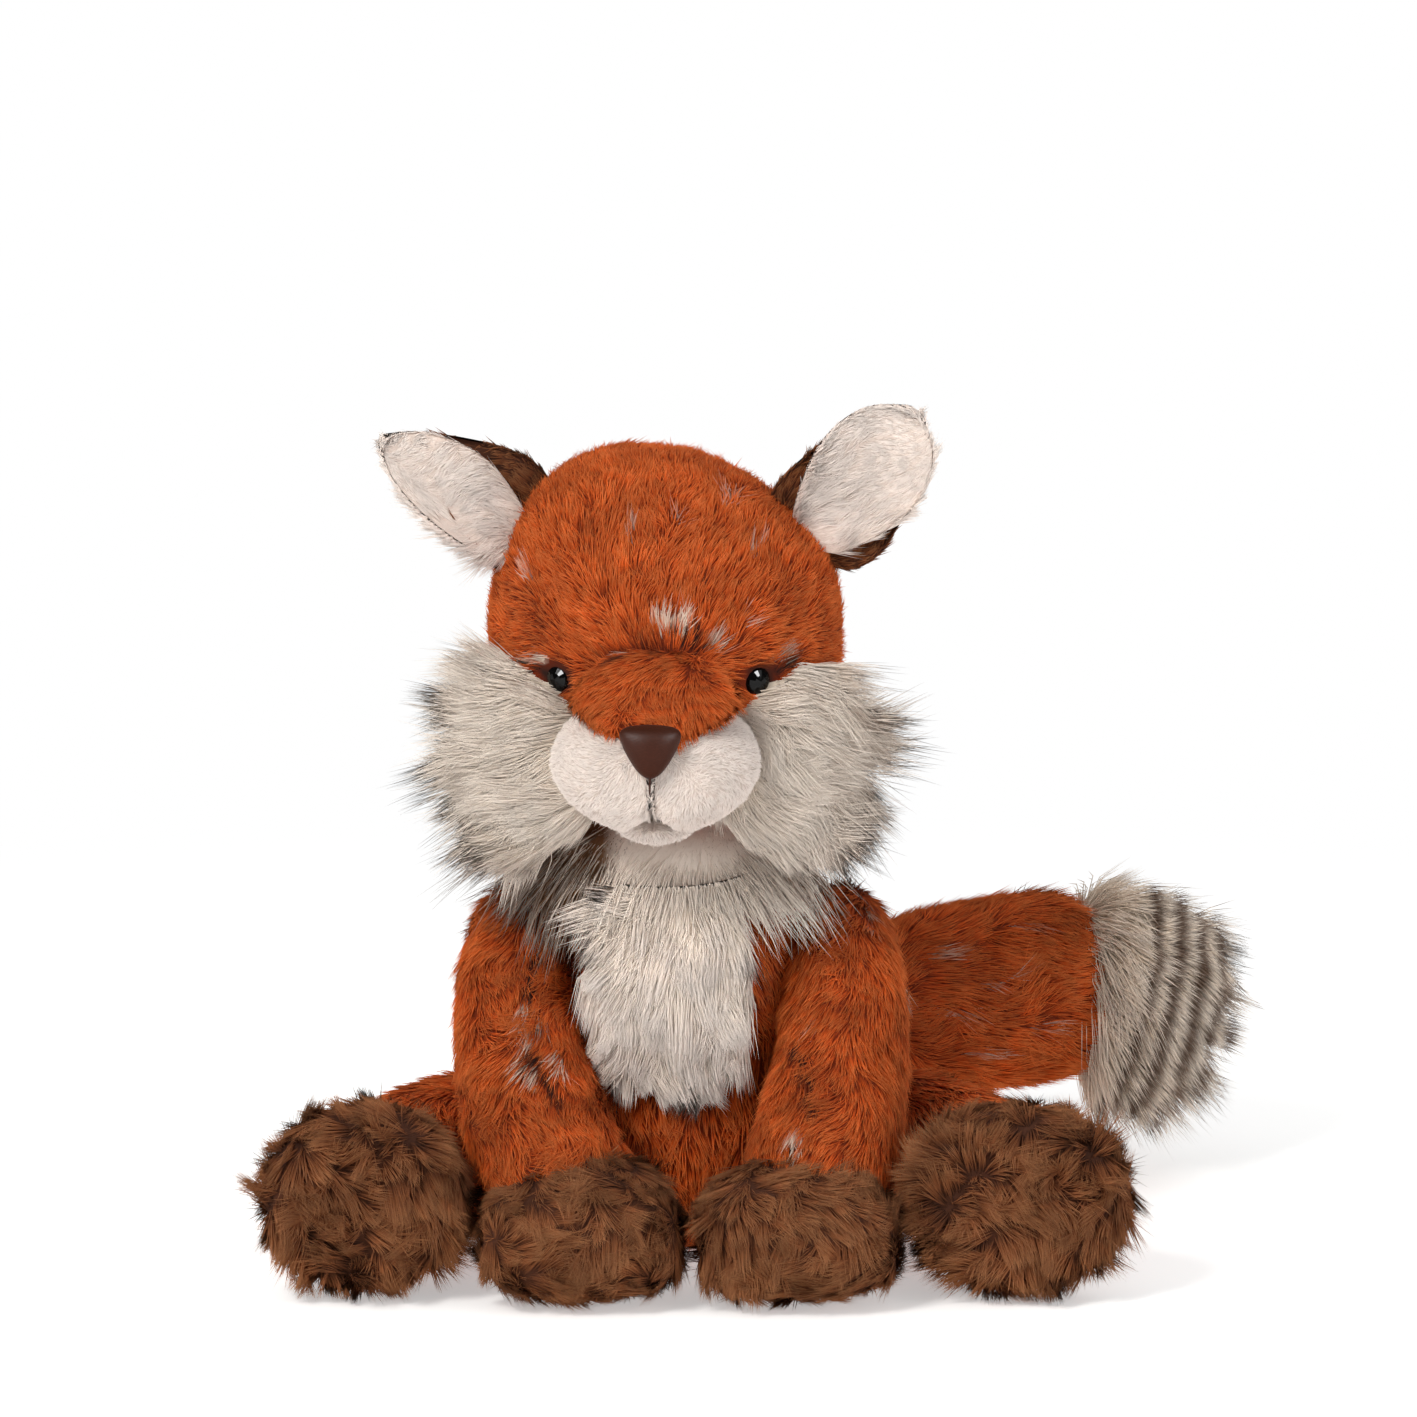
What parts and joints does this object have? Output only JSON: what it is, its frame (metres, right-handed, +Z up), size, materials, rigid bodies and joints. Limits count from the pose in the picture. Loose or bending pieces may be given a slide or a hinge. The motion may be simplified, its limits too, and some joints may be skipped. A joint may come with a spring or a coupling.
{
  "type": "plush fox",
  "caption": "Sitting plush fox with a long frosted ruff, a pale bib, floppy cupped ears, soft legs that lift at the seams and a striped tail that swings.",
  "frame": {"origin": "middle of the flat seat under the body, on the surface that the fox sits on", "axes": "+Z up, -Y the way the fox faces, +X the fox's own left"},
  "size_m": [0.2797, 0.2346, 0.2414],
  "materials": {
    "rust_plush": "short fleecy rust pile with a few pale and dark flecks",
    "brown_plush": "shaggy brown pile",
    "white_plush": "short dense white pile",
    "cream_long_pile": "long cream pile that lies downwards in locks",
    "frosted_long_pile": "long cream-grey pile with dark brown-grey tips",
    "striped_long_pile": "long cream pile with grey-brown cross stripes",
    "satin": "padded dark brown satin",
    "eye_plastic": "moulded black, polished",
    "washer_nylon": "moulded, natural",
    "fibre_filling": "loose polyester fibre",
    "cotton_bag": "woven cotton bag of plastic beans"
  },
  "bodies": {
    "torso": {"body_cover": "rust_plush", "body_filling": "fibre_filling", "seat_bean_bag": "cotton_bag", "bib": "cream_long_pile"},
    "neck": {"neck_ruff": "frosted_long_pile"},
    "head": {"head_cover": "rust_plush", "head_filling": "fibre_filling", "muzzle_bridge": "rust_plush", "muzzle_left": "white_plush", "muzzle_right": "white_plush", "chin": "white_plush", "nose": "satin", "eye_left": "eye_plastic", "eye_right": "eye_plastic", "eye_washer_left": "washer_nylon", "eye_washer_right": "washer_nylon", "cheek_ruff_left": "frosted_long_pile", "cheek_ruff_right": "frosted_long_pile"},
    "ear_left": {"ear_back_left": "brown_plush", "ear_lining_left": "white_plush"},
    "ear_right": {"ear_back_right": "brown_plush", "ear_lining_right": "white_plush"},
    "foreleg_left": {"foreleg_left": "rust_plush", "front_paw_left": "brown_plush"},
    "foreleg_right": {"foreleg_right": "rust_plush", "front_paw_right": "brown_plush"},
    "hind_leg_left": {"hind_leg_left": "rust_plush", "hind_foot_left": "brown_plush", "hind_sole_left": "brown_plush"},
    "hind_leg_right": {"hind_leg_right": "rust_plush", "hind_foot_right": "brown_plush", "hind_sole_right": "brown_plush"},
    "tail": {"tail": "rust_plush", "tail_tip": "striped_long_pile"}
  },
  "joints": [
    {"name": "neck_turn", "type": "hinge", "parent": "torso", "child": "neck", "pos_m": [-0.00588, -0.00812, 0.104], "axis": [0, 0, 1], "range_deg": [-35, 35], "stiffness_Nm_per_rad": 0.05},
    {"name": "head_nod", "type": "hinge", "parent": "neck", "child": "head", "pos_m": [-0.00588, -0.00812, 0.104], "axis": [-0.9981, 0.061, 0], "range_deg": [-8, 20], "stiffness_Nm_per_rad": 0.5, "springref_deg": 1.15},
    {"name": "ear_left_fold", "type": "hinge", "parent": "head", "child": "ear_left", "pos_m": [0.0341, -0.01968, 0.20383], "axis": [0.7889, 0.0216, -0.6142], "range_deg": [-25, 25], "stiffness_Nm_per_rad": 0.03},
    {"name": "ear_right_fold", "type": "hinge", "parent": "head", "child": "ear_right", "pos_m": [-0.04698, -0.01472, 0.20383], "axis": [0.577, 0.5249, 0.6257], "range_deg": [-25, 25], "stiffness_Nm_per_rad": 0.03},
    {"name": "foreleg_left_lift", "type": "hinge", "parent": "torso", "child": "foreleg_left", "pos_m": [0.04055, -0.014, 0.087], "axis": [-1, 0, 0], "range_deg": [0, 45]},
    {"name": "foreleg_right_lift", "type": "hinge", "parent": "torso", "child": "foreleg_right", "pos_m": [-0.04642, -0.014, 0.087], "axis": [-1, 0, 0], "range_deg": [0, 45]},
    {"name": "hind_leg_left_lift", "type": "hinge", "parent": "torso", "child": "hind_leg_left", "pos_m": [0.04933, 0.006, 0.028], "axis": [-1, 0, 0], "range_deg": [0, 20]},
    {"name": "hind_leg_right_lift", "type": "hinge", "parent": "torso", "child": "hind_leg_right", "pos_m": [-0.04933, 0.006, 0.028], "axis": [-1, 0, 0], "range_deg": [0, 20]},
    {"name": "tail_swing", "type": "hinge", "parent": "torso", "child": "tail", "pos_m": [0.01939, 0.043, 0.042], "axis": [0, 0, 1], "range_deg": [0, 108], "stiffness_Nm_per_rad": 0.005}
  ]
}
